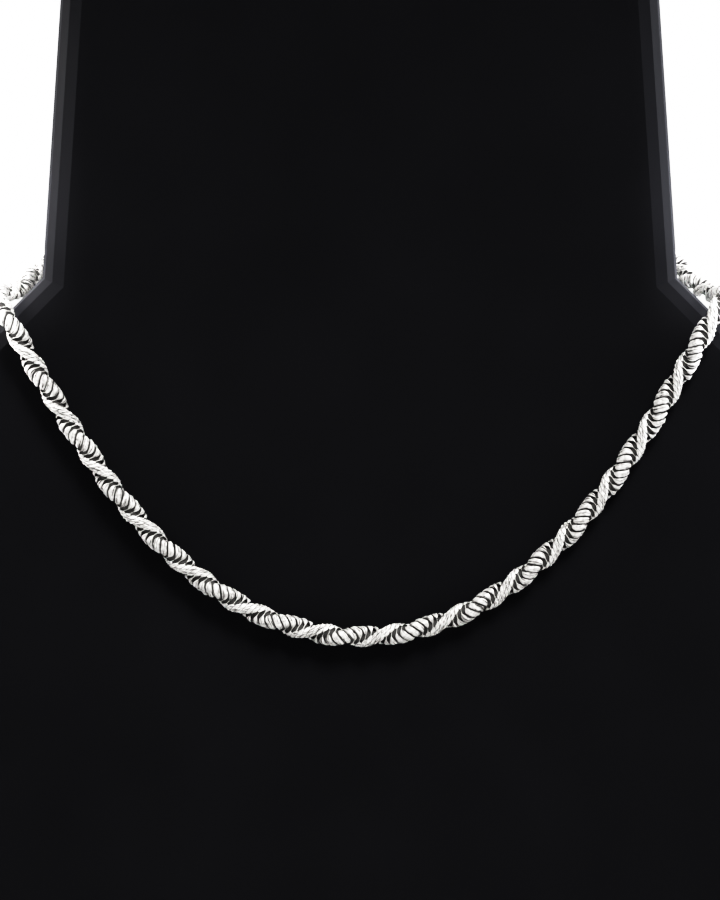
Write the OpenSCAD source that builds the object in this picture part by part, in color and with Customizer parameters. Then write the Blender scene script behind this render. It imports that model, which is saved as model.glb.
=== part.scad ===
// Rope chain necklace lying on a plain neck bust.
// Millimetres, +Z up, and the flat front of the bust faces -Y. The origin is on the surface
// that the bust stands on, under the middle of the whole object.

/* [Neck bust] */
// Full width of the neck where it meets the shoulders
neck_w = 127.6; // [122:0.2:127.6]
// Full width of the neck at its flat top
neck_top_w = 119.2; // [110:0.2:120]
// Height of the flat top
bust_h = 220; // [205:1:240]
// Height of the corner where the neck meets the shoulders
corner_z = 150; // [147:0.5:150]
// Full width of the bust below the shoulders
bust_w = 200; // [190:1:210]
// Depth of the bust from its flat front to its back
bust_d = 83.4; // [80:0.2:83.4]
// Radius of the soft rim round the flat front
rim_r = 7.3; // [5:0.1:8]
// Radius that turns the shoulder slope into the upright side
shoulder_r = 30; // [20:1:34]
// Radius of the edge round the flat top
top_r = 5; // [2:0.5:5]
// Height and width of the small bevel round the foot
foot_bevel = 1.2; // [0.5:0.1:2]

/* [Rope chain] */
// Outer diameter of the twisted chain
chain_d = 4.4; // [4:0.1:4.6]
// Flat sides of the chain's outer form
chain_sides = 10; // [8:1:12]

/* [Clasp] */
// Diameter of the barrel
clasp_d = 5; // [4.6:0.1:5.2]
// Length of the whole clasp
clasp_l = 14; // [12:0.5:14]
// Diameter of the end caps that hold the chain
cap_d = 4.6; // [4.2:0.1:4.6]
// Length of one end cap
cap_l = 2.4; // [2:0.1:3]
// Bevel at each end of the clasp
cap_bevel = 0.4; // [0.2:0.1:0.6]

/* [Hidden] */

// The flat front of the bust.
front_y = -42;

// Fineness of the bust's round stretches, in degrees a step. The front rim turns in four flats.
rim_step = 22.5;
back_step = 5;
edge_step = 15;

// The shoulders slope down at 45 degrees from the corner. The arc that follows has its
// centre this far out and this high.
slope = 45;
shoulder_cx = bust_w / 2 - shoulder_r;
shoulder_cz = neck_w / 2 + corner_z - shoulder_cx - shoulder_r * sqrt(2);

// The chain's route on the +X side, from the middle of the front to the clasp: 2.5 mm in
// front of the flat face, over the shoulder and round the back of the neck. The other side
// mirrors it.
half_route = [
    [0, -44.5, 78.05],
    [9.1, -44.5, 79],
    [18.1, -44.5, 81.7],
    [26.1, -44.5, 85.7],
    [33.05, -44.5, 90.65],
    [40.1, -44.5, 96.95],
    [46.15, -44.5, 103.7],
    [51.2, -44.5, 110.25],
    [55.65, -44.5, 116.85],
    [59.75, -44.5, 123.2],
    [63.9, -44.5, 130.15],
    [67.6, -44.5, 136.5],
    [70.2, -44.4, 141.2],
    [72.1, -43, 144.5],
    [72.8, -39.6, 146.2],
    [71.8, -35, 146.8],
    [69.6, -30, 147.7],
    [67.1, -24, 149.5],
    [64.7, -17, 152.2],
    [62.3, -8, 155],
    [58.2, 3, 157.5],
    [52.2, 14.2, 159.4],
    [44.1, 24.7, 160.7],
    [33.9, 33.4, 161.5],
    [22.5, 39.9, 161.9],
    [14.6, 42.8, 162],
    [7.2, 44.2, 162]
];
half_count = len(half_route);
route = [
    for (i = [1 - half_count : half_count - 1])
        [i < 0 ? -half_route[-i].x : half_route[i].x, half_route[abs(i)].y, half_route[abs(i)].z]
];
last = len(route) - 1;

// The clasp lies along X between the two ends of the route.
clasp_y = half_route[half_count - 1].y;
clasp_z = half_route[half_count - 1].z;

function unit(v) = v / norm(v);

// The outline normals of two neighbouring edges joined into one mitre vector.
function mitre(m, n) = (m + n) / (1 + m * n);

// Faces of a solid skinned over rings of n points each, counted anticlockwise as seen
// from the last ring.
function skin_faces(rings, n) =
    let (top = (rings - 1) * n)
    concat(
        [[for (c = [0 : n - 1]) c]],
        [
            for (r = [0 : rings - 2], c = [0 : n - 1])
                let (a = r * n + c, b = r * n + (c + 1) % n)
                each [[a, a + n, b + n], [a, b + n, b]]
        ],
        [[for (c = [n - 1 : -1 : 0]) top + c]]
    );

// One level of the bust's outline: half width, height, how far the level is drawn in all
// round, and the mitre vector along which the front rim moves in.
slope_normal = [cos(slope), sin(slope)];
neck_normal = unit([bust_h - corner_z, (neck_w - neck_top_w) / 2]);
levels = concat(
    [
        [bust_w / 2 - foot_bevel, 0, foot_bevel, [1, 0]],
        [bust_w / 2, foot_bevel, 0, [1, 0]]
    ],
    [
        for (a = [0 : slope / 6 : slope])
            [shoulder_cx + shoulder_r * cos(a), shoulder_cz + shoulder_r * sin(a), 0, [cos(a), sin(a)]]
    ],
    [[neck_w / 2, corner_z, 0, mitre(slope_normal, neck_normal)]],
    [
        for (a = [0 : edge_step : 90])
            let (inset = top_r * (1 - cos(a)))
            [neck_top_w / 2 - inset, bust_h - top_r * (1 - sin(a)), inset, [1, 0]]
    ]
);

// One closed level of the bust, anticlockwise from above: the right front rim, the round
// back, the left front rim. The flat front closes it.
function level_points(level) =
    let (
        w = level[0],
        z = level[1],
        inset = level[2],
        m = level[3],
        r = rim_r - inset,
        depth = bust_d - rim_r - inset,
        right = [
            for (a = [0 : rim_step : 90])
                let (t = r * (1 - sin(a)))
                [w - m.x * t, front_y + inset + r * (1 - cos(a)), z - m.y * t]
        ]
    )
    concat(
        right,
        [for (a = [back_step : back_step : 180 - back_step]) [w * cos(a), front_y + rim_r + depth * sin(a), z]],
        [for (i = [len(right) - 1 : -1 : 0]) [-right[i].x, right[i].y, right[i].z]]
    );

module neck_bust() {
    rings = [for (level = levels) level_points(level)];
    color([0.06, 0.06, 0.065])
        polyhedron(
            points = [for (ring = rings) each ring],
            faces = skin_faces(len(rings), len(rings[0])),
            convexity = 4
        );
}

// Direction of the route at each point. Both ends lie in line with the clasp.
function tangent(i) =
    i == 0 || i == last ? [-1, 0, 0] : unit(unit(route[i + 1] - route[i]) + unit(route[i] - route[i - 1]));

// The side direction of each ring, carried along the route without twisting.
function carried(i, side) =
    let (now = unit(side - (side * tangent(i)) * tangent(i)))
    concat([now], i == last ? [] : carried(i + 1, now));

// The chain's outer form: a many-sided tube swept along the route.
module rope_chain() {
    sides = carried(0, [0, 0, 1]);
    rings = [
        for (i = [0 : last])
            let (u = sides[i], v = cross(tangent(i), u))
            [
                for (c = [0 : chain_sides - 1])
                    let (a = 360 * c / chain_sides)
                    route[i] + chain_d / 2 * (cos(a) * u + sin(a) * v)
            ]
    ];
    color([0.86, 0.86, 0.84])
        polyhedron(
            points = [for (ring = rings) each ring],
            faces = skin_faces(len(rings), chain_sides),
            convexity = 6
        );
}

// A plain barrel with a stepped cap at each end, turned about its long axis.
module clasp() {
    color([0.86, 0.86, 0.84])
        translate([0, clasp_y, clasp_z])
            rotate([0, 90, 0])
                rotate_extrude($fn = 48)
                    polygon([
                        [0, -clasp_l / 2],
                        [cap_d / 2 - cap_bevel, -clasp_l / 2],
                        [cap_d / 2, cap_bevel - clasp_l / 2],
                        [cap_d / 2, cap_l - clasp_l / 2],
                        [clasp_d / 2, cap_l + cap_bevel - clasp_l / 2],
                        [clasp_d / 2, clasp_l / 2 - cap_l - cap_bevel],
                        [cap_d / 2, clasp_l / 2 - cap_l],
                        [cap_d / 2, clasp_l / 2 - cap_bevel],
                        [cap_d / 2 - cap_bevel, clasp_l / 2],
                        [0, clasp_l / 2]
                    ]);
}

neck_bust();
rope_chain();
clasp();
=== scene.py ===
"""Rope chain necklace lying on a plain neck bust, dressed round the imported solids."""

import math

import bpy
import numpy as np
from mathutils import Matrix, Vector


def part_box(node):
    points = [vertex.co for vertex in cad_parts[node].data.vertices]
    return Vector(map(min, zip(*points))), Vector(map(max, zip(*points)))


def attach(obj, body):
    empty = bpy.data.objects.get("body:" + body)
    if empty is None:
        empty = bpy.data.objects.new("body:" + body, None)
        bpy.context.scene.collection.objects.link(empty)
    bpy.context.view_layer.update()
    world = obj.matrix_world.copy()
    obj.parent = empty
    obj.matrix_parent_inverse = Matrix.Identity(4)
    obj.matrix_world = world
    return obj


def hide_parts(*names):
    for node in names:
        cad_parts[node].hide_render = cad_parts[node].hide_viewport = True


bl_info = {
    "name": "Rope Chain Necklace",
    "version": (1, 0, 0),
    "blender": (4, 5, 0),
    "location": "View3D > Sidebar > Necklace",
    "description": "Builds a twisted silver rope chain on a black neck bust",
    "category": "Add Mesh",
}

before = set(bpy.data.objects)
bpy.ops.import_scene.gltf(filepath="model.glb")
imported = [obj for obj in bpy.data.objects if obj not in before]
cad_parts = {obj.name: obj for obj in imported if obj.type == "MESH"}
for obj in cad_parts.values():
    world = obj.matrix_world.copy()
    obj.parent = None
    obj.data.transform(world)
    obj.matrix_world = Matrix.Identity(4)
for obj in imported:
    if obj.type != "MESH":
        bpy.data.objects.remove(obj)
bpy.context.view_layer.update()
cad_bust_low, cad_bust_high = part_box("neck_bust")

MM = 0.001
BODY = "root"

# The chain's route on the +X side, from the middle of the front to the clasp, in metres.
# The other side mirrors it.
HALF_ROUTE = (
    (0, -0.0445, 0.07805),
    (0.0091, -0.0445, 0.079),
    (0.0181, -0.0445, 0.0817),
    (0.0261, -0.0445, 0.0857),
    (0.03305, -0.0445, 0.09065),
    (0.0401, -0.0445, 0.09695),
    (0.04615, -0.0445, 0.1037),
    (0.0512, -0.0445, 0.11025),
    (0.05565, -0.0445, 0.11685),
    (0.05975, -0.0445, 0.1232),
    (0.0639, -0.0445, 0.13015),
    (0.0676, -0.0445, 0.1365),
    (0.0702, -0.0444, 0.1412),
    (0.0721, -0.043, 0.1445),
    (0.0728, -0.0396, 0.1462),
    (0.0718, -0.035, 0.1468),
    (0.0696, -0.03, 0.1477),
    (0.0671, -0.024, 0.1495),
    (0.0647, -0.017, 0.1522),
    (0.0623, -0.008, 0.155),
    (0.0582, 0.003, 0.1575),
    (0.0522, 0.0142, 0.1594),
    (0.0441, 0.0247, 0.1607),
    (0.0339, 0.0334, 0.1615),
    (0.0225, 0.0399, 0.1619),
    (0.0146, 0.0428, 0.162),
    (0.0072, 0.0442, 0.162),
)
# Direction of both ends, in line with the clasp, the outward side of the chain in the middle
# of the front, and the steps of the curve from point to point.
END_DIRECTION = (-1.0, 0.0, 0.0)
FRONT_SIDE = (0.0, -1.0, 0.0)
ROUTE_STEPS = 60

# The shoulders slope down at 45 degrees, and the place of their arc counts on it.
SLOPE = math.radians(45)

# Levels of the bust on each stretch of its outline, from the foot up, and the points round
# the back of one level.
FOOT_LEVELS = 6
SIDE_LEVELS = 7
SHOULDER_LEVELS = 19
SLOPE_LEVELS = 5
NECK_LEVELS = 7
TOP_LEVELS = 10
BACK_POINTS = 71

# Edges that turn by more degrees than this stay sharp.
BUST_SHARP = 20
CLASP_SHARP = 35

# The pieces of the rope, and the shares of the route at which each starts and ends.
ROPE_PIECES = (
    ("rope_back_left", 0.0, 0.26),
    ("rope_front_left", 0.26, 0.5),
    ("rope_front_right", 0.5, 0.74),
    ("rope_back_right", 0.74, 1.0),
)
# Place of a link's middle in the stretch of chain that one link takes up.
LINK_PLACE = 0.25

# One link of the rope, from the middle of its broad outer strand to the middle of the narrow
# ridge on the other side: distance from the chain's axis, distance along the link, tilt of
# the link in degrees, half width along the twist, thickness, and the kind of section
# (0 cushion, 1 round wire, 2 flat ridge). Lengths in millimetres.
LINK_HALF = (
    (-1.820, 0.00, 46, 0.495, 0.58, 0.0),
    (-1.785, 0.54, 46, 0.495, 0.58, 0.0),
    (-1.640, 0.95, 46, 0.490, 0.56, 0.0),
    (-1.300, 1.25, 46, 0.450, 0.50, 0.0),
    (-0.900, 1.37, 46, 0.330, 0.42, 0.2),
    (-0.600, 1.37, 47, 0.150, 0.32, 0.7),
    (-0.280, 1.30, 48, 0.085, 0.25, 1.0),
    (0.120, 1.28, 51, 0.082, 0.24, 1.0),
    (0.430, 1.31, 55, 0.090, 0.24, 1.1),
    (0.640, 1.35, 61, 0.120, 0.28, 1.4),
    (0.740, 1.36, 63, 0.500, 0.36, 1.8),
    (1.250, 1.06, 64, 0.585, 0.48, 1.9),
    (1.640, 0.60, 64, 0.585, 0.52, 2.0),
    (1.780, 0.00, 64, 0.585, 0.52, 2.0),
)
# The other half of a link runs the other way along it.
OTHER_HALF = np.array([1, -1, 1, 1, 1, 1])

# Sections round one link, the steps of the smooth curve from row to row that they are taken
# from, and how many times closer they stand on the ridge, which starts at this kind.
LINK_SECTIONS = 60
CURVE_STEPS = 24
RIDGE_CLOSENESS = 2.5
RIDGE_KIND = 1.15

# How much the links differ from each other: in size, in place along the chain in
# millimetres, and in turn about the chain in radians.
SIZE_SPREAD = 0.014
PLACE_SPREAD = 0.03
TURN_SPREAD = 0.016

# Streaks worn along the ridge: mean place across it, how far each wanders, the length of
# chain over which it wanders, its depth, and a start angle. Lengths in millimetres.
STREAKS = (
    (-0.66, 0.14, 7.3, 0.16, 0.4),
    (-0.12, 0.18, 5.1, 0.20, 2.1),
    (0.46, 0.16, 6.2, 0.18, 4.4),
)
STREAK_WIDTH = 0.12

# A streak fades in and out: mean and swing in shares of its depth, and the length of one
# fade in shares of the length over which it wanders.
FADE_MEAN = 0.6
FADE_SWING = 0.4
FADE_LENGTH = 0.37

# Fine unevenness of the strands: waves in radians for each millimetre, along and across the
# strand, and how deep each wave is in millimetres. On the ridge they run on from link to
# link and follow each other more closely.
DENTS = ((2.6, 5.0), (-4.1, 3.2), (6.3, -2.2), (1.5, -9.5), (10.0, 4.0))
DENT_DEPTH = 0.04
RIDGE_DENT_DEPTH = 0.045
RIDGE_CROWDING = 1.6

# How much more the ridge is worn bright than the other strands, and how dark a streak or a
# dent that is at least so many millimetres deep is painted, as shade in its hollow.
RIDGE_WEAR = 0.28
STREAK_SHADE = 0.7
STREAK_SHADE_DEPTH = 0.1
DENT_SHADE = 0.3
DENT_SHADE_DEPTH = 0.08

# Range of the random number that gives each link marks of its own.
MARK_RANGE = 50

# Section of a strand: place across it, height of the outer face for each kind of section,
# and how bright the metal is there, lower at the edges as painted shade between strands, then
# place and height of the inner face.
ACROSS_OUTER = (-1.0, -0.9, -0.66, -0.33, 0.0, 0.33, 0.66, 0.9, 1.0)
CUSHION = (0.0, 0.48, 0.83, 0.97, 1.0, 0.97, 0.83, 0.48, 0.0)
WIRE = (0.0, 0.44, 0.75, 0.94, 1.0, 0.94, 0.75, 0.44, 0.0)
RIDGE = (1.0, 1.0, 1.0, 1.0, 1.0, 1.0, 1.0, 1.0, 1.0)
UNSHADED_ACROSS = (0.1, 0.68, 1.0, 1.0, 1.0, 1.0, 1.0, 0.68, 0.1)
ACROSS_INNER = (0.72, 0.36, 0.0, -0.36, -0.72)
INNER = (-0.7, -0.95, -1.0, -0.95, -0.7)

# A shift along the chain that is small enough to give the direction of the twist, in metres.
SMALL_SHIFT = 0.000001

# Outline of the clasp from one end to its middle, as distances along it and depths below
# its surface, in millimetres. On the cap, inwards from the end: the mouth that the chain
# goes into, the lip and a groove.
CAP_END = (
    (0.8, 0.35),
    (0.2, 0.22),
    (0.05, 0.2),
    (0.0, 0.12),
    (0.06, 0.04),
    (0.2, 0.0),
    (0.5, 0.0),
    (0.6, 0.1),
    (0.75, 0.1),
    (0.85, 0.0),
)
# On the cap and then on the barrel, inwards from the joint between them.
CAP_FOOT = ((-0.1, 0.0), (0.0, 0.08), (0.1, 0.05))
BARREL_END = ((0.2, 0.12), (0.45, 0.02), (0.6, 0.0), (2.0, 0.0), (2.1, 0.08), (2.2, 0.0))
# On the barrel, outwards from its middle: half of the seam where it opens.
SEAM = ((0.12, 0.0), (0.04, 0.1))

# Resin of the bust: shades of its mottle, what mottle and grain add to its roughness, and
# the shares of grain and ripple in its relief.
RESIN_DARK = 0.75
RESIN_LIGHT = 1.25
MOTTLE_ROUGHNESS = 0.1
GRAIN_ROUGHNESS = 0.06
GRAIN_RELIEF = 0.6
RIPPLE_RELIEF = 0.4

# Wear and painted shade of the chain: how marks are drawn out along a strand, where the
# pattern turns into a mark and how sharply, and how much the wear with its painted shade, fine
# clouds and marks count.
MARK_SCALE = (6.0, 0.45, 1.0)
MARK_LEVEL = 0.45
MARK_SHARPNESS = 14.0
WEAR_AND_SHADE_WEIGHT = 1.12
CLOUD_WEIGHT = 0.4
MARK_WEIGHT = 1.1

# Metal of the chain: shade of its clouds, what the dark parts (oxide marks and painted shade)
# and scratches add to its roughness, and the share of scratches in its relief.
CLOUD_SHADE = 0.96
DARK_ROUGHNESS = 0.2
SCRATCH_ROUGHNESS = 0.08
SCRATCH_RELIEF = 0.3

# Metal of the clasp: shade of its clouds, what turning marks and clouds add to its
# roughness, and the share of either in its relief.
CLASP_SHADE = 0.88
TURNING_ROUGHNESS = 0.08
CLOUD_ROUGHNESS = 0.1
CLASP_RELIEF = 0.5

# Paper of the floor: shade of its fibres, its roughness, and what the fibres add to it.
FIBRE_SHADE = 0.97
PAPER_ROUGHNESS = 0.85
FIBRE_ROUGHNESS = 0.1

# The camera's sensor in millimetres, and the distance to which the camera sees in metres.
SENSOR_WIDTH = 36.0
CLIP_END = 100.0

# Shares of the white level at which the tone curve has its points.
ROLL_SHARES = (0.04, 0.08, 0.12, 0.16, 0.2, 0.25, 0.3, 0.36, 0.43, 0.5, 0.6, 0.7, 0.85)

# Softboxes, and of a pair the right one: place, aim, width and height, and spread in
# degrees. The beams are so narrow that they light the chain where it goes back over the
# shoulders, and not the dark front.
BUST_MIDDLE = (0.0, -0.04, 0.12)
KEY_BOX = ((0.34, -0.70, 0.98), BUST_MIDDLE, (0.55, 0.5), 30)
TOP_BOX = ((0.0, 0.3, 1.1), BUST_MIDDLE, (0.8, 0.5), 60)
NEAR_BOX = ((0.13, -0.034, 0.19), (0.065, -0.02, 0.15), (0.05, 0.05), 100)
LOW_BOX = ((0.16, -0.03, 0.10), (0.066, -0.015, 0.152), (0.05, 0.05), 100)
BEAM_BOX = ((0.078, -0.85, 0.158), (0.078, 0.0, 0.158), (0.03, 0.03), 1.5)
BACK_BOX = ((0.95, 0.4, 0.45), BUST_MIDDLE, (0.7, 0.9), 60)

# Colours of the light, warmer at the left than at the right.
WHITE = (1.0, 1.0, 1.0)
KEY_COLOUR = (1.0, 0.99, 0.97)
NEAR_LEFT_COLOUR = (1.0, 0.98, 0.96)
NEAR_RIGHT_COLOUR = (0.96, 0.97, 1.0)
BACK_LEFT_COLOUR = (1.0, 0.97, 0.92)
BACK_RIGHT_COLOUR = (0.97, 0.98, 1.0)


class Wire:
    """An output socket on which sums can be written as Python expressions."""

    def __init__(self, finish, socket):
        self.finish = finish
        self.socket = socket

    def math(self, operation, *values, clamp=False):
        """A Math node on these values."""
        settings = {"operation": operation, "use_clamp": clamp}
        return self.finish.node("ShaderNodeMath", settings, dict(enumerate(values)))

    def __add__(self, other):
        return self.math("ADD", self, other)

    def __radd__(self, other):
        return self.math("ADD", other, self)

    def __sub__(self, other):
        return self.math("SUBTRACT", self, other)

    def __rsub__(self, other):
        return self.math("SUBTRACT", other, self)

    def __mul__(self, other):
        return self.math("MULTIPLY", self, other)

    def __rmul__(self, other):
        return self.math("MULTIPLY", other, self)

    def clamped(self):
        """The value kept between 0 and 1."""
        return self.math("ADD", self, 0.0, clamp=True)


class Finish:
    """One node tree, filled by calls to node()."""

    def __init__(self, tree):
        self.tree = tree

    def node(self, kind, settings=None, inputs=None, output=0):
        """A new node: its settings first, then the values or links of its sockets."""
        made = self.tree.nodes.new(kind)
        for name, value in (settings or {}).items():
            setattr(made, name, value)
        for key, value in (inputs or {}).items():
            if isinstance(value, Wire):
                self.tree.links.new(value.socket, made.inputs[key])
            else:
                made.inputs[key].default_value = value
        return Wire(self, made.outputs[output]) if len(made.outputs) else None

    def place(self):
        """Place on the piece in metres."""
        return self.node("ShaderNodeTexCoord", output="Object")

    def mix(self, factor, first, second):
        """Two colours mixed. The node's sockets share their names, so they go by number."""
        settings = {"data_type": "RGBA", "clamp_factor": True}
        return self.node("ShaderNodeMix", settings, {0: factor, 6: first, 7: second}, 2)

    def noise(self, place, scale, detail=2.0, roughness=0.5):
        inputs = {"Vector": place, "Scale": scale, "Detail": detail, "Roughness": roughness}
        return self.node("ShaderNodeTexNoise", {}, inputs, "Fac")

    def bump(self, height, strength, distance):
        inputs = {"Height": height, "Strength": strength, "Distance": distance}
        return self.node("ShaderNodeBump", {}, inputs, "Normal")


def new_material(name):
    """An empty material and the Finish that fills it."""
    material = bpy.data.materials.new(name)
    material.use_nodes = True
    material.node_tree.nodes.clear()
    return material, Finish(material.node_tree)


def close_material(finish, inputs):
    """The shader with what feeds its sockets, and the material's output."""
    surface = finish.node("ShaderNodeBsdfPrincipled", {}, inputs)
    finish.node("ShaderNodeOutputMaterial", {}, {"Surface": surface})


def tone(colour, factor=1.0):
    """A colour made darker or lighter, with full alpha."""
    return (*[factor * c for c in colour], 1.0)


def make_bust_black(settings):
    """Satin black moulded resin with a fine grain."""
    material, finish = new_material("bust_black")
    place = finish.place()
    mottle = finish.noise(place, scale=45.0, detail=3.0)
    grain = finish.noise(place, scale=3200.0, roughness=0.6)
    ripple = finish.noise(place, scale=260.0)
    dark = tone(settings.colour, RESIN_DARK)
    light = tone(settings.colour, RESIN_LIGHT)
    roughness = settings.roughness + mottle * MOTTLE_ROUGHNESS + grain * GRAIN_ROUGHNESS
    relief = grain * GRAIN_RELIEF + ripple * RIPPLE_RELIEF
    close_material(finish, {
        "Base Color": finish.mix(mottle, dark, light),
        "Roughness": roughness,
        "Specular IOR Level": settings.gloss,
        "Sheen Weight": settings.sheen,
        "Sheen Roughness": 0.55,
        "Sheen Tint": (0.86, 0.88, 1.0, 1.0),
        "Normal": finish.bump(relief, strength=0.35, distance=0.06 * MM),
    })
    return material


def make_chain_silver(settings):
    """Polished silver, worn bright outside, with oxide marks and with shade painted dark into
    its recesses, hollows and strand edges.
    """
    material, finish = new_material("chain_silver")
    place = finish.place()
    # The attribute holds wear on the ridge and painted shade in the recesses, hollows and strand
    # edges.
    wear_and_shade = finish.node("ShaderNodeAttribute", {"attribute_name": "wear_and_shade"}, {}, "Fac")
    strand = finish.node("ShaderNodeAttribute", {"attribute_name": "strand"}, {}, "Vector")
    drawn_out = finish.node(
        "ShaderNodeVectorMath", {"operation": "MULTIPLY"}, {0: strand, 1: MARK_SCALE}, "Vector"
    )
    cloud = finish.noise(place, scale=900.0, detail=3.0)
    scratch = finish.noise(place, scale=5200.0, detail=3.0, roughness=0.65)
    streak = finish.noise(drawn_out, scale=1.0, detail=3.0, roughness=0.6)
    mark = ((MARK_LEVEL - streak) * MARK_SHARPNESS).clamped()
    bright = (wear_and_shade * WEAR_AND_SHADE_WEIGHT - cloud * CLOUD_WEIGHT - mark * MARK_WEIGHT).clamped()
    silver = finish.mix(cloud, tone(settings.silver, CLOUD_SHADE), tone(settings.silver))
    darkened = (1.0 - bright) * DARK_ROUGHNESS
    roughness = settings.roughness + darkened + scratch * SCRATCH_ROUGHNESS
    relief = streak + scratch * SCRATCH_RELIEF
    close_material(finish, {
        # Where bright is low the oxide colour shows: painted shade in the recesses, hollows and
        # strand edges, and oxide in the marks.
        "Base Color": finish.mix(bright, tone(settings.oxide_and_shade), silver),
        "Metallic": 1.0,
        "Roughness": roughness,
        "Normal": finish.bump(relief, strength=0.6, distance=0.08 * MM),
    })
    return material


def make_clasp_silver(settings):
    """Polished silver with fine turning marks round the barrel."""
    material, finish = new_material("clasp_silver")
    place = finish.place()
    wave_inputs = {"Vector": place, "Scale": 900.0, "Distortion": 0.6, "Detail": 2.0}
    turning = finish.node("ShaderNodeTexWave", {"bands_direction": "X"}, wave_inputs, "Fac")
    cloud = finish.noise(place, scale=700.0, detail=3.0)
    silver = finish.mix(cloud, tone(settings.silver, CLASP_SHADE), tone(settings.silver))
    roughness = settings.roughness + turning * TURNING_ROUGHNESS + cloud * CLOUD_ROUGHNESS
    relief = turning * CLASP_RELIEF + cloud * CLASP_RELIEF
    close_material(finish, {
        "Base Color": silver,
        "Metallic": 1.0,
        "Roughness": roughness,
        "Normal": finish.bump(relief, strength=0.25, distance=0.02 * MM),
    })
    return material


def make_floor_paper(settings):
    """Plain pale paper with fine fibres."""
    material, finish = new_material("floor_paper")
    fibre = finish.noise(finish.place(), scale=900.0, detail=3.0)
    shade = tone(settings.floor_colour, FIBRE_SHADE)
    close_material(finish, {
        "Base Color": finish.mix(fibre, shade, tone(settings.floor_colour)),
        "Roughness": PAPER_ROUGHNESS + fibre * FIBRE_ROUGHNESS,
    })
    return material


def new_piece(name, points, faces, material, sharp_degrees=None):
    """A mesh object in the row frame. With an angle, sharper edges stay sharp."""
    mesh = bpy.data.meshes.new(name)
    mesh.from_pydata([tuple(p) for p in points], [], faces)
    mesh.materials.append(material)
    mesh.polygons.foreach_set("use_smooth", [True] * len(mesh.polygons))
    if sharp_degrees is not None:
        mesh.set_sharp_from_angle(angle=math.radians(sharp_degrees))
    mesh.update()
    piece = bpy.data.objects.new(name, mesh)
    bpy.context.scene.collection.objects.link(piece)
    return piece


def unit(vectors):
    """The same directions with a length of 1."""
    return vectors / np.linalg.norm(vectors, axis=-1, keepdims=True)


def mitre(first, second):
    """Two neighbouring outline normals joined into one vector that moves both edges in."""
    return (first + second) / (1 + first @ second)


def straight(start, end, count, normal):
    """Levels of the bust evenly spaced between two others, without those two."""
    return [
        (
            start[0] + share * (end[0] - start[0]),
            start[1] + share * (end[1] - start[1]),
            0,
            normal,
        )
        for share in np.linspace(0, 1, count + 2)[1:-1]
    ]


def bust_levels(s):
    """Half width, height, inset and mitre vector of each level, from the foot up."""
    half_width = s.width / 2
    half_neck = s.neck_width / 2
    half_top = s.neck_top_width / 2
    shoulder_x = half_width - s.shoulder_radius
    shoulder_z = half_neck + s.corner_height - shoulder_x - s.shoulder_radius * math.sqrt(2)
    side_normal = np.array([1.0, 0.0])
    slope_normal = np.array([math.cos(SLOPE), math.sin(SLOPE)])
    neck_normal = unit(np.array([s.height - s.corner_height, half_neck - half_top]))
    levels = []
    for a in np.linspace(0, math.pi / 2, FOOT_LEVELS):
        inset = s.foot_bevel * (1 - math.sin(a))
        height = s.foot_bevel * (1 - math.cos(a))
        levels.append((half_width - inset, height, inset, side_normal))
    foot_end = (half_width, s.foot_bevel)
    side_end = (half_width, shoulder_z)
    levels += straight(foot_end, side_end, SIDE_LEVELS, side_normal)
    for a in np.linspace(0, SLOPE, SHOULDER_LEVELS):
        normal = np.array([math.cos(a), math.sin(a)])
        out, up = s.shoulder_radius * normal
        levels.append((shoulder_x + out, shoulder_z + up, 0, normal))
    corner = (half_neck, s.corner_height, 0, mitre(slope_normal, neck_normal))
    levels += straight(levels[-1], corner, SLOPE_LEVELS, slope_normal)
    levels.append(corner)
    neck_end = (half_top, s.height - s.top_radius)
    levels += straight(corner, neck_end, NECK_LEVELS, neck_normal)
    for a in np.linspace(0, math.pi / 2, TOP_LEVELS):
        inset = s.top_radius * (1 - math.cos(a))
        height = s.height - s.top_radius * (1 - math.sin(a))
        levels.append((half_top - inset, height, inset, side_normal))
    return levels


def bust_level_points(s, level):
    """One closed level, anticlockwise from above: right rim, round back, left rim."""
    half_width, height, inset, normal = level
    radius = s.rim_radius - inset
    depth = s.depth - s.rim_radius - inset
    right = []
    for a in np.linspace(0, math.pi / 2, s.rim_flats + 1):
        moved = radius * (1 - math.sin(a))
        right.append((
            half_width - normal[0] * moved,
            s.front + inset + radius * (1 - math.cos(a)),
            height - normal[1] * moved,
        ))
    back = [
        (half_width * math.cos(a), s.front + s.rim_radius + depth * math.sin(a), height)
        for a in np.linspace(0, math.pi, BACK_POINTS + 2)[1:-1]
    ]
    left = [(-x, y, z) for x, y, z in reversed(right)]
    return right + back + left


def skin(rings, count):
    """Quads between rings of count points each, with a flat face at either end."""
    faces = [tuple(reversed(range(count)))]
    for r in range(rings - 1):
        for c in range(count):
            a = r * count + c
            b = r * count + (c + 1) % count
            faces.append((a, b, b + count, a + count))
    faces.append(tuple((rings - 1) * count + c for c in range(count)))
    return faces


def build_bust(s):
    """The bust, skinned over its levels."""
    levels = bust_levels(s)
    rings = [bust_level_points(s, level) for level in levels]
    points = [p for ring in rings for p in ring]
    faces = skin(len(rings), len(rings[0]))
    piece = new_piece("neck_bust_form", points, faces, make_bust_black(s), BUST_SHARP)
    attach(piece, BODY)
    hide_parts("neck_bust")


def run_lengths(points):
    """Distance along a line of points, from its start to each."""
    steps = np.linalg.norm(np.diff(points, axis=0), axis=-1)
    return np.concatenate([[0], np.cumsum(steps)])


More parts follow.
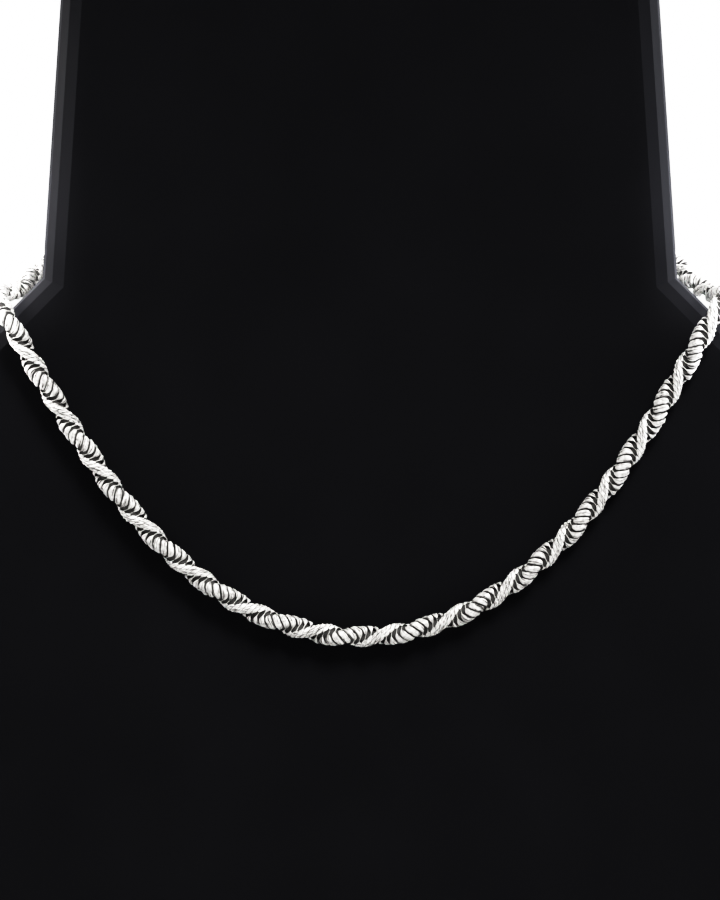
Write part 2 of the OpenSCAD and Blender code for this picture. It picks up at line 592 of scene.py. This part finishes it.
def spline_slopes(knots, gap):
    """Directions at the knots of a smooth curve that leaves both ends in a given direction."""
    count = len(knots)
    matrix = np.zeros((count, count))
    right = np.zeros((count, 3))
    matrix[0, 0] = 1
    matrix[-1, -1] = 1
    right[0] = END_DIRECTION
    right[-1] = END_DIRECTION
    for i in range(1, count - 1):
        before = gap[i - 1]
        after = gap[i]
        matrix[i, i - 1] = after
        matrix[i, i] = 2 * (before + after)
        matrix[i, i + 1] = before
        arriving = after * (knots[i] - knots[i - 1]) / before
        leaving = before * (knots[i + 1] - knots[i]) / after
        right[i] = 3 * (arriving + leaving)
    return np.linalg.solve(matrix, right)


def carried_sides(direction):
    """A side vector at each point, carried both ways from the middle of the front without
    twisting."""
    side = np.zeros_like(direction)
    middle = len(direction) // 2
    side[middle] = FRONT_SIDE
    for step in (1, -1):
        now = side[middle]
        i = middle + step
        while 0 <= i < len(direction):
            now = unit(now - (now @ direction[i]) * direction[i])
            side[i] = now
            i += step
    return side


def route_spline():
    """Fine points along the whole route, their distance along it from the middle of the
    front, and the direction and carried side vector at each."""
    half = np.array(HALF_ROUTE)
    mirrored = half[1:][::-1] * np.array([-1.0, 1.0, 1.0])
    knots = np.concatenate([mirrored, half])
    gap = np.linalg.norm(np.diff(knots, axis=0), axis=-1)
    slopes = spline_slopes(knots, gap)
    t = np.linspace(0, 1, ROUTE_STEPS, endpoint=False)[:, None]
    stretches = [
        (1 + 2 * t) * (1 - t) ** 2 * knots[i]
        + t * (1 - t) ** 2 * gap[i] * slopes[i]
        + t * t * (3 - 2 * t) * knots[i + 1]
        + t * t * (t - 1) * gap[i] * slopes[i + 1]
        for i in range(len(gap))
    ]
    points = np.concatenate(stretches + [knots[-1:]])
    length = run_lengths(points)
    length -= length[-1] / 2
    direction = unit(np.gradient(points, length, axis=0))
    return points, length, direction, carried_sides(direction)


def turn(points, angle):
    """Points turned about the chain's axis."""
    cos = np.cos(angle)
    sin = np.sin(angle)
    x = points[..., 0] * cos - points[..., 1] * sin
    y = points[..., 0] * sin + points[..., 1] * cos
    return np.stack([x, y, points[..., 2]], -1)


def screw(points, shift, lead):
    """Points moved along the chain's axis and turned with its left-hand twist."""
    moved = turn(points, -2 * math.pi * shift / lead)
    moved[..., 2] += shift
    return moved


def smooth_half(table, sections):
    """The half link resampled along a smooth curve through its rows, closest on the ridge."""
    rows = np.concatenate([table[1:2] * OTHER_HALF, table, table[-2:-1] * OTHER_HALF])
    fine = []
    for i in range(1, len(rows) - 2):
        p0, p1, p2, p3 = rows[i - 1 : i + 3]
        for t in np.linspace(0, 1, CURVE_STEPS, endpoint=False):
            fine.append(0.5 * (
                2 * p1
                + (p2 - p0) * t
                + (2 * p0 - 5 * p1 + 4 * p2 - p3) * t * t
                + (3 * p1 - p0 - 3 * p2 + p3) * t ** 3
            ))
    fine = np.array(fine + [table[-1]])
    kind = fine[1:, -1]
    weight = np.where(kind > RIDGE_KIND, RIDGE_CLOSENESS, 1)
    stretch = np.hypot(*np.diff(fine[:, :2], axis=0).T) * weight
    run = np.concatenate([[0], np.cumsum(stretch)])
    even = np.linspace(0, run[-1], sections + 1)
    return np.stack([np.interp(even, run, column) for column in fine.T], 1)


def link_form(lead):
    """Points of one link about the chain's axis, with four values at each point: place
    along and across its strand, share of ridge, and how bright the metal is there, with shade
    painted dark on the inner faces and at the strand edges."""
    half = smooth_half(np.array(LINK_HALF, float), LINK_SECTIONS // 2)
    loop = np.concatenate([half, half[1:-1][::-1] * OTHER_HALF])
    out, along_link, tilt, half_width, thickness, kind = loop.T
    tilt = np.radians(tilt)
    middle = MM * np.stack([out, -along_link * np.sin(tilt), along_link * np.cos(tilt)], 1)
    strand = unit(np.roll(middle, -1, 0) - np.roll(middle, 1, 0))
    widthways = unit(screw(middle, SMALL_SHIFT, lead) - screw(middle, -SMALL_SHIFT, lead))
    outward = unit(np.cross(widthways, strand))
    radial = middle * np.array([1, 1, 0])
    outward *= np.sign((outward * radial).sum(1))[:, None]
    across = np.array(ACROSS_OUTER + ACROSS_INNER)
    sections = [np.array(outer + INNER) for outer in (CUSHION, WIRE, RIDGE)]
    # The inner faces get 0, so they are painted fully dark as shade.
    wear_and_shade = np.array(UNSHADED_ACROSS + (0.0,) * len(INNER))
    points = []
    values = []
    for i in range(len(loop)):
        first = min(int(kind[i]), 1)
        share = kind[i] - first
        section = sections[first] * (1 - share) + sections[first + 1] * share
        stem = middle[i] + outward[i] * (section * thickness[i] / 2 * MM)[:, None]
        points.append(screw(stem, across * half_width[i] * MM, lead))
        values.append(np.stack([
            np.full(len(across), along_link[i]),
            across * half_width[i],
            np.full(len(across), np.clip(kind[i] - 1, 0, 1)),
            wear_and_shade,
        ], 1))
    return np.array(points), np.array(values)


def hollow_shade(depth, full_depth):
    """Share of painted shade in a hollow, full at its full depth."""
    return np.clip(depth / full_depth, 0, 1)


def vary_link(form, values, station, rng):
    """One link's points with its own small differences, and how bright each of them is: worn
    brighter on the ridge, with shade painted dark in its hollows.
    """
    along, across, ridge, wear_and_shade = np.moveaxis(values, -1, 0)
    size = rng.normal(0, SIZE_SPREAD)
    shift = rng.normal(0, PLACE_SPREAD) * MM
    roll = rng.normal(0, TURN_SPREAD)
    loose = 1 - ridge
    where = (station + form[..., 2]) / MM
    streaks = np.zeros_like(ridge)
    for place, wander, period, depth, start in STREAKS:
        turns = 2 * math.pi * where / period
        line = place + wander * np.sin(turns + start)
        fade = FADE_MEAN + FADE_SWING * np.sin(turns / FADE_LENGTH + 2 * start)
        streaks += depth * fade * np.exp(-((along - line) / STREAK_WIDTH) ** 2)
    dents = np.zeros_like(ridge)
    for first, second in DENTS:
        start = rng.uniform(0, 2 * math.pi)
        loose_wave = np.sin(first * along + second * across + start)
        ridge_wave = np.sin(first * along + second * RIDGE_CROWDING * where)
        dents += loose * DENT_DEPTH * loose_wave + ridge * RIDGE_DENT_DEPTH * ridge_wave
    outside = wear_and_shade > 0
    radius = np.maximum(np.linalg.norm(form[..., :2], axis=-1), MM)
    grow = 1 + size * loose + outside * (dents - ridge * streaks) * MM / radius
    points = form.copy()
    points[..., :2] *= grow[..., None]
    points[..., 2] += shift * loose
    wear_and_shade = wear_and_shade * (1 + RIDGE_WEAR * ridge)
    # Streak and dent hollows are painted darker, as shade.
    wear_and_shade -= outside * ridge * hollow_shade(streaks, STREAK_SHADE_DEPTH) * STREAK_SHADE
    wear_and_shade -= outside * hollow_shade(-dents, DENT_SHADE_DEPTH) * DENT_SHADE
    return turn(points, roll * loose), wear_and_shade


def strand_place(values, station, rng):
    """Place on the strand in millimetres, for marks that run along it: across the run of
    the marks, along them, and a number that differs from link to link."""
    along, across, ridge, _ = np.moveaxis(values, -1, 0)
    loose = 1 - ridge
    sideways = across * loose + along * ridge
    run = along * loose + (across + station / MM) * ridge
    own = rng.uniform(0, MARK_RANGE) * loose
    return np.stack([sideways, run, own], -1).reshape(-1, 3)


def loop_faces(rows, columns, start, wrap_rows):
    """Quads of a grid whose columns close, and whose rows close if wrap_rows."""
    faces = []
    for r in range(rows if wrap_rows else rows - 1):
        s = (r + 1) % rows
        for c in range(columns):
            d = (c + 1) % columns
            faces.append((
                start + r * columns + c,
                start + s * columns + c,
                start + s * columns + d,
                start + r * columns + d,
            ))
    return faces


def wrap_round(local, route):
    """Points given about a straight axis, laid along the route."""
    points, length, direction, side = route
    place = local[..., 2]

    def on_route(vectors):
        return np.stack([np.interp(place, length, column) for column in vectors.T], -1)

    t = unit(on_route(direction))
    u = on_route(side)
    u = unit(u - (u * t).sum(-1, keepdims=True) * t)
    v = np.cross(t, u)
    past = (place - np.clip(place, length[0], length[-1]))[..., None]
    return on_route(points) + u * local[..., 0:1] + v * local[..., 1:2] + t * past


def rope_shade_core(s, stations):
    """A dark oval put inside the links as painted shade: it turns with the twist, at each
    station.
    """
    angle = np.arange(s.core_sides) * 2 * math.pi / s.core_sides
    oval = np.stack([s.core_long * np.cos(angle), s.core_short * np.sin(angle), 0 * angle], 1)
    return np.concatenate([turn(screw(oval, z, s.lead), s.phase) for z in stations])


def core_faces(s, rings, start):
    """The sides of the core and its two ends."""
    end = start + (rings - 1) * s.core_sides
    faces = loop_faces(rings, s.core_sides, start, False)
    faces.append(tuple(start + c for c in range(s.core_sides)))
    faces.append(tuple(end + c for c in reversed(range(s.core_sides))))
    return faces


def store_values(piece, name, kind, field, values):
    """Values at the points of a piece, which its material reads by their name."""
    attribute = piece.data.attributes.new(name, kind, "POINT")
    attribute.data.foreach_set(field, np.concatenate(values).astype(np.float32).ravel())


def build_rope(s):
    """The links, laid one beside the other along the route, with a dark core inside them as
    painted shade.
    """
    route = route_spline()
    total = 2 * route[1][-1]
    count = round(total / s.lead * s.links_per_turn)
    pitch = total / count
    form, values = link_form(s.lead)
    rows, columns = values.shape[:2]
    rng = np.random.default_rng(s.seed)
    material = make_chain_silver(s)
    for name, start, end in ROPE_PIECES:
        first = round((start - 0.5) * count)
        last = round((end - 0.5) * count)
        points = []
        faces = []
        wear_and_shade = []
        strand = []
        for k in range(first, last):
            station = (k + LINK_PLACE) * pitch
            link, link_wear_and_shade = vary_link(form, values, station, rng)
            points.append(turn(screw(link, station, s.lead), s.phase).reshape(-1, 3))
            faces += loop_faces(rows, columns, (k - first) * rows * columns, True)
            wear_and_shade.append(link_wear_and_shade.ravel())
            strand.append(strand_place(values, station, rng))
        stations = np.arange(2 * first, 2 * last + 1) * pitch / 2
        core = rope_shade_core(s, stations)
        points.append(core)
        faces += core_faces(s, len(stations), (last - first) * rows * columns)
        # The core is painted fully dark, as the shade inside the links.
        wear_and_shade.append(np.zeros(len(core)))
        strand.append(core / MM)
        laid = wrap_round(np.concatenate(points), route)
        piece = new_piece(name, laid, faces, material)
        store_values(piece, "wear_and_shade", "FLOAT", "value", wear_and_shade)
        store_values(piece, "strand", "FLOAT_VECTOR", "vector", strand)
        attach(piece, BODY)
        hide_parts("rope_chain")


def clasp_outline(s):
    """Distance along the clasp and radius, from the middle of one end to that of the other."""
    half = s.length / 2
    joint = half - s.cap_length
    cap = s.cap_diameter / 2
    barrel = s.diameter / 2
    outline = [(half - CAP_END[0][0] * MM, 0)]
    for start, way, radius, rows in (
        (half, -1, cap, CAP_END),
        (joint, -1, cap, CAP_FOOT),
        (joint, -1, barrel, BARREL_END),
        (0, 1, barrel, SEAM),
    ):
        outline += [(start + way * along * MM, radius - deep * MM) for along, deep in rows]
    return outline + [(-x, r) for x, r in reversed(outline)]


def build_clasp(s):
    """The clasp, turned about its long axis."""
    low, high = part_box("clasp")
    centre = (low + high) / 2
    outline = clasp_outline(s)
    sides = s.sides
    points = [(centre.x + outline[0][0], centre.y, centre.z)]
    for x, r in outline[1:-1]:
        for i in range(sides):
            a = 2 * math.pi * i / sides
            points.append((centre.x + x, centre.y + r * math.cos(a), centre.z + r * math.sin(a)))
    points.append((centre.x + outline[-1][0], centre.y, centre.z))
    rings = len(outline) - 2
    faces = [(0, 1 + i, 1 + (i + 1) % sides) for i in range(sides)]
    for r in range(rings - 1):
        for i in range(sides):
            a = 1 + r * sides + i
            b = 1 + r * sides + (i + 1) % sides
            faces.append((a, a + sides, b + sides, b))
    end = len(points) - 1
    last_ring = 1 + (rings - 1) * sides
    faces += [(end, last_ring + (i + 1) % sides, last_ring + i) for i in range(sides)]
    piece = new_piece("clasp_barrel", points, faces, make_clasp_silver(s), CLASP_SHARP)
    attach(piece, BODY)
    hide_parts("clasp")


def add_softbox(name, box, side, power, colour):
    """A soft rectangular light, mirrored to the left where side is -1."""
    place, aim, size, spread = box
    mirror = Vector((side, 1, 1))
    place = Vector(place) * mirror
    aim = Vector(aim) * mirror
    light = bpy.data.lights.new(name, "AREA")
    light.shape = "RECTANGLE"
    light.size, light.size_y = size
    light.spread = math.radians(spread)
    light.energy = power
    light.color = colour
    lamp = bpy.data.objects.new(name, light)
    lamp.location = place
    lamp.rotation_euler = (aim - place).to_track_quat("-Z", "Y").to_euler()
    lamp.visible_camera = False
    bpy.context.scene.collection.objects.link(lamp)


def develop_picture(s):
    """A film-like tone curve: bright tones roll off softly up to the white level."""
    view = bpy.context.scene.view_settings
    view.view_transform = "Standard"
    view.gamma = s.film_gamma
    view.use_curve_mapping = True
    mapping = view.curve_mapping
    mapping.white_level = (s.white_level,) * 3
    room = 1 - s.shoulder_start

    def roll(light):
        """Brightness of a light before the picture is scaled to full white."""
        past = max(light - s.shoulder_start, 0)
        return min(light, s.shoulder_start) + room * (1 - math.exp(-past / room))

    # The last curve is the one for all three colours together.
    *_, combined = mapping.curves
    for share in ROLL_SHARES:
        light = share * s.white_level
        combined.points.new(share, roll(light) / roll(s.white_level))
    for point in combined.points:
        point.handle_type = "VECTOR"
    mapping.update()


def build_camera(s):
    """A level camera in front of the middle. The upright picture is as high as its sensor is
    wide."""
    camera = bpy.data.cameras.new("photo_camera")
    camera.sensor_width = SENSOR_WIDTH
    camera.lens = SENSOR_WIDTH * s.camera_distance / s.frame_height
    camera.clip_end = CLIP_END
    view = bpy.data.objects.new("photo_camera", camera)
    view.location = (0.0, HALF_ROUTE[0][1] - s.camera_distance, s.camera_height)
    view.rotation_euler = (math.pi / 2, 0.0, 0.0)
    bpy.context.scene.collection.objects.link(view)
    bpy.context.scene.camera = view


def build_room(s):
    """A plain room, dim in front and bright behind, that the camera sees as full white."""
    world = bpy.data.worlds.new("studio_white")
    world.use_nodes = True
    world.node_tree.nodes.clear()
    sky = Finish(world.node_tree)
    seen = sky.node("ShaderNodeLightPath", output="Is Camera Ray")
    place = sky.node("ShaderNodeTexCoord", output="Generated")
    towards_back = {0: place, 1: (0.0, 1.0, 0.0)}
    depth = sky.node(
        "ShaderNodeVectorMath", {"operation": "DOT_PRODUCT"}, towards_back, "Value"
    )
    level = s.front_fill + depth.clamped() * (s.back_fill - s.front_fill)
    strength = seen * (s.white_level - level) + level
    ground = sky.node("ShaderNodeBackground", {}, {"Color": tone(WHITE), "Strength": strength})
    sky.node("ShaderNodeOutputWorld", {}, {"Surface": ground})
    bpy.context.scene.world = world


def build_lights(s):
    """One softbox in front, one above, two behind, and three small ones for each shoulder."""
    add_softbox("softbox_key", KEY_BOX, 1, s.key_light, KEY_COLOUR)
    add_softbox("softbox_top", TOP_BOX, 1, s.top_light, WHITE)
    for name, side, near_light, colour in (
        ("left", -1, s.near_left_light, NEAR_LEFT_COLOUR),
        ("right", 1, s.near_right_light, NEAR_RIGHT_COLOUR),
    ):
        add_softbox("softbox_near_" + name, NEAR_BOX, side, near_light, colour)
        add_softbox("softbox_low_" + name, LOW_BOX, side, s.low_light, colour)
        add_softbox("softbox_beam_" + name, BEAM_BOX, side, s.beam_light, WHITE)
    add_softbox("softbox_back_left", BACK_BOX, -1, s.back_left_light, BACK_LEFT_COLOUR)
    add_softbox("softbox_back_right", BACK_BOX, 1, s.back_right_light, BACK_RIGHT_COLOUR)


def build_studio(s):
    """The camera, the tone curve, the room, the floor and the lights."""
    build_camera(s)
    develop_picture(s)
    build_room(s)
    half = s.floor_size / 2
    corners = [(-half, -half, 0), (half, -half, 0), (half, half, 0), (-half, half, 0)]
    floor = new_piece("studio_floor", corners, [(0, 1, 2, 3)], make_floor_paper(s))
    build_lights(s)


class BustSettings(bpy.types.PropertyGroup):
    """Sizes and finish of the neck bust."""

    neck_width: bpy.props.FloatProperty(
        name="Neck Width", description="Width of the neck where it meets the shoulders",
        default=0.1276, unit="LENGTH")
    neck_top_width: bpy.props.FloatProperty(
        name="Neck Top Width", description="Width of the neck at its flat top",
        default=0.1192, unit="LENGTH")
    height: bpy.props.FloatProperty(
        name="Height", description="Height of the flat top",
        default=cad_bust_high.z, unit="LENGTH")
    corner_height: bpy.props.FloatProperty(
        name="Corner Height", description="Height of the corner between neck and shoulders",
        default=0.150, unit="LENGTH")
    width: bpy.props.FloatProperty(
        name="Width", description="Width below the shoulders",
        default=cad_bust_high.x - cad_bust_low.x, unit="LENGTH")
    depth: bpy.props.FloatProperty(
        name="Depth", description="Depth from the flat front to the back",
        default=cad_bust_high.y - cad_bust_low.y, unit="LENGTH")
    front: bpy.props.FloatProperty(
        name="Front", description="Place of the flat front along Y",
        default=cad_bust_low.y, unit="LENGTH")
    rim_radius: bpy.props.FloatProperty(
        name="Rim Radius", description="Radius of the soft rim round the flat front",
        default=0.0073, unit="LENGTH")
    rim_flats: bpy.props.IntProperty(
        name="Rim Flats", description="Flat faces in which the soft rim turns", default=4)
    shoulder_radius: bpy.props.FloatProperty(
        name="Shoulder Radius", description="Radius from the shoulder slope into the side",
        default=0.030, unit="LENGTH")
    top_radius: bpy.props.FloatProperty(
        name="Top Radius", description="Radius of the edge round the flat top",
        default=0.005, unit="LENGTH")
    foot_bevel: bpy.props.FloatProperty(
        name="Foot Edge", description="Radius of the edge round the foot",
        default=0.0012, unit="LENGTH")
    colour: bpy.props.FloatVectorProperty(
        name="Colour", description="Colour of the resin", subtype="COLOR",
        default=(0.0042, 0.0042, 0.005), min=0.0, max=1.0)
    roughness: bpy.props.FloatProperty(
        name="Roughness", description="Least roughness of the resin",
        default=0.36, min=0.0, max=1.0, subtype="FACTOR")
    gloss: bpy.props.FloatProperty(
        name="Gloss", description="Strength of the reflection seen head on",
        default=0.01, min=0.0, max=1.0, subtype="FACTOR")
    sheen: bpy.props.FloatProperty(
        name="Sheen", description="Strength of the soft glow at the rims",
        default=0.06, min=0.0, max=1.0, subtype="FACTOR")


class RopeSettings(bpy.types.PropertyGroup):
    """Twist and finish of the rope chain."""

    lead: bpy.props.FloatProperty(
        name="Length of a Turn", description="Length of chain in which the twist turns once",
        default=0.01366, unit="LENGTH")
    links_per_turn: bpy.props.IntProperty(
        name="Links in a Turn", description="Links in one turn of the twist", default=12)
    phase: bpy.props.FloatProperty(
        name="Turn at the Front", description="Turn of the whole rope about its own line",
        default=math.radians(101), subtype="ANGLE")
    # The core is a dark oval put inside the links as painted shade.
    core_long: bpy.props.FloatProperty(
        name="Core Half Width", description="Half the width of the dark inside of the links",
        default=0.0015, unit="LENGTH")
    core_short: bpy.props.FloatProperty(
        name="Core Half Thickness", description="Half the thickness of the dark inside",
        default=0.00085, unit="LENGTH")
    core_sides: bpy.props.IntProperty(
        name="Core Sides", description="Sides of the dark inside", default=16)
    seed: bpy.props.IntProperty(
        name="Seed", description="Start of the small differences from link to link",
        default=7)
    silver: bpy.props.FloatVectorProperty(
        name="Silver", description="Colour of the bright metal", subtype="COLOR",
        default=(0.955, 0.943, 0.925), min=0.0, max=1.0)
    # Colour of the oxide marks, also painted into the recesses and strand edges as shade.
    oxide_and_shade: bpy.props.FloatVectorProperty(
        name="Oxide", description="Colour of the dark recesses", subtype="COLOR",
        default=(0.1, 0.098, 0.096), min=0.0, max=1.0)
    roughness: bpy.props.FloatProperty(
        name="Roughness", description="Roughness of the bright metal",
        default=0.62, min=0.0, max=1.0, subtype="FACTOR")


class ClaspSettings(bpy.types.PropertyGroup):
    """Sizes and finish of the barrel clasp."""

    length: bpy.props.FloatProperty(
        name="Length", description="Length of the whole clasp", default=0.014, unit="LENGTH")
    diameter: bpy.props.FloatProperty(
        name="Diameter", description="Diameter of the barrel", default=0.005, unit="LENGTH")
    cap_diameter: bpy.props.FloatProperty(
        name="Cap Diameter", description="Diameter of the end caps",
        default=0.0046, unit="LENGTH")
    cap_length: bpy.props.FloatProperty(
        name="Cap Length", description="Length of one end cap", default=0.0024, unit="LENGTH")
    sides: bpy.props.IntProperty(
        name="Sides", description="Sides of the round form", default=96)
    silver: bpy.props.FloatVectorProperty(
        name="Silver", description="Colour of the metal", subtype="COLOR",
        default=(0.955, 0.943, 0.925), min=0.0, max=1.0)
    roughness: bpy.props.FloatProperty(
        name="Roughness", description="Least roughness of the metal",
        default=0.2, min=0.0, max=1.0, subtype="FACTOR")


class StudioSettings(bpy.types.PropertyGroup):
    """Camera, floor and light."""

    camera_distance: bpy.props.FloatProperty(
        name="Camera Distance", description="Distance from the camera to the chain",
        default=2.0, unit="LENGTH")
    camera_height: bpy.props.FloatProperty(
        name="Camera Height", description="Height of the level camera",
        default=0.1154, unit="LENGTH")
    frame_height: bpy.props.FloatProperty(
        name="Frame Height", description="Height of the picture at the chain",
        default=0.18, unit="LENGTH")
    floor_size: bpy.props.FloatProperty(
        name="Floor Size", description="Side of the square floor", default=6.0, unit="LENGTH")
    floor_colour: bpy.props.FloatVectorProperty(
        name="Floor Colour", description="Colour of the paper floor", subtype="COLOR",
        default=(0.7, 0.7, 0.7), min=0.0, max=1.0)
    front_fill: bpy.props.FloatProperty(
        name="Front Fill", description="Brightness of the room in front", default=0.2)
    back_fill: bpy.props.FloatProperty(
        name="Back Fill", description="Brightness of the room behind", default=1.0)
    white_level: bpy.props.FloatProperty(
        name="White Level", description="Light that comes out as full white", default=2.5)
    shoulder_start: bpy.props.FloatProperty(
        name="Shoulder Start", description="Light above which bright tones roll off",
        default=0.3)
    film_gamma: bpy.props.FloatProperty(
        name="Film Gamma", description="Gamma of the picture; less than 1 deepens dark tones",
        default=0.7)
    key_light: bpy.props.FloatProperty(
        name="Key Light", description="Power of the softbox in front, high at the right",
        default=2.6, unit="POWER")
    top_light: bpy.props.FloatProperty(
        name="Top Light", description="Power of the softbox above and behind",
        default=3.1, unit="POWER")
    near_left_light: bpy.props.FloatProperty(
        name="Near Left Light", description="Power of the small softbox by the left shoulder",
        default=0.1, unit="POWER")
    near_right_light: bpy.props.FloatProperty(
        name="Near Right Light", description="Power of the small softbox by the right shoulder",
        default=0.045, unit="POWER")
    low_light: bpy.props.FloatProperty(
        name="Low Light", description="Power of each small softbox lower beside a shoulder",
        default=0.12, unit="POWER")
    beam_light: bpy.props.FloatProperty(
        name="Beam Light", description="Power of each beam on the chain over a shoulder",
        default=0.013, unit="POWER")
    back_left_light: bpy.props.FloatProperty(
        name="Back Left Light", description="Power of the softbox behind at the left",
        default=2.0, unit="POWER")
    back_right_light: bpy.props.FloatProperty(
        name="Back Right Light", description="Power of the softbox behind at the right",
        default=2.9, unit="POWER")


class NECKLACE_OT_studio(bpy.types.Operator):
    """Set up the camera, the pale floor and the soft light"""

    bl_idname = "necklace.studio"
    bl_label = "Set Up Studio"

    def execute(self, context):
        build_studio(context.scene.necklace_studio)
        return {"FINISHED"}


class NECKLACE_OT_bust(bpy.types.Operator):
    """Build the plain black neck bust"""

    bl_idname = "necklace.bust"
    bl_label = "Build Neck Bust"

    def execute(self, context):
        build_bust(context.scene.necklace_bust)
        return {"FINISHED"}


class NECKLACE_OT_rope(bpy.types.Operator):
    """Build the links of the rope chain along its route"""

    bl_idname = "necklace.rope"
    bl_label = "Build Rope Chain"

    def execute(self, context):
        build_rope(context.scene.necklace_rope)
        return {"FINISHED"}


class NECKLACE_OT_clasp(bpy.types.Operator):
    """Build the barrel clasp at the nape"""

    bl_idname = "necklace.clasp"
    bl_label = "Build Clasp"

    def execute(self, context):
        build_clasp(context.scene.necklace_clasp)
        return {"FINISHED"}


class NECKLACE_PT_pieces(bpy.types.Panel):
    """The pieces of the necklace and their settings."""

    bl_label = "Rope Chain Necklace"
    bl_idname = "NECKLACE_PT_pieces"
    bl_space_type = "VIEW_3D"
    bl_region_type = "UI"
    bl_category = "Necklace"

    def draw(self, context):
        for operator, settings, _ in PIECES:
            box = self.layout.box()
            box.operator(operator.bl_idname)
            group = getattr(context.scene, settings)
            for name in group.__annotations__:
                box.prop(group, name)


PIECES = (
    (NECKLACE_OT_studio, "necklace_studio", StudioSettings),
    (NECKLACE_OT_bust, "necklace_bust", BustSettings),
    (NECKLACE_OT_rope, "necklace_rope", RopeSettings),
    (NECKLACE_OT_clasp, "necklace_clasp", ClaspSettings),
)


def register():
    for operator, settings, group in PIECES:
        bpy.utils.register_class(group)
        setattr(bpy.types.Scene, settings, bpy.props.PointerProperty(type=group))
        bpy.utils.register_class(operator)
    bpy.utils.register_class(NECKLACE_PT_pieces)


def unregister():
    bpy.utils.unregister_class(NECKLACE_PT_pieces)
    for operator, settings, group in reversed(PIECES):
        bpy.utils.unregister_class(operator)
        delattr(bpy.types.Scene, settings)
        bpy.utils.unregister_class(group)


def main():
    register()
    bpy.ops.necklace.studio()
    bpy.ops.necklace.bust()
    bpy.ops.necklace.rope()
    bpy.ops.necklace.clasp()


if __name__ == "__main__":
    main()
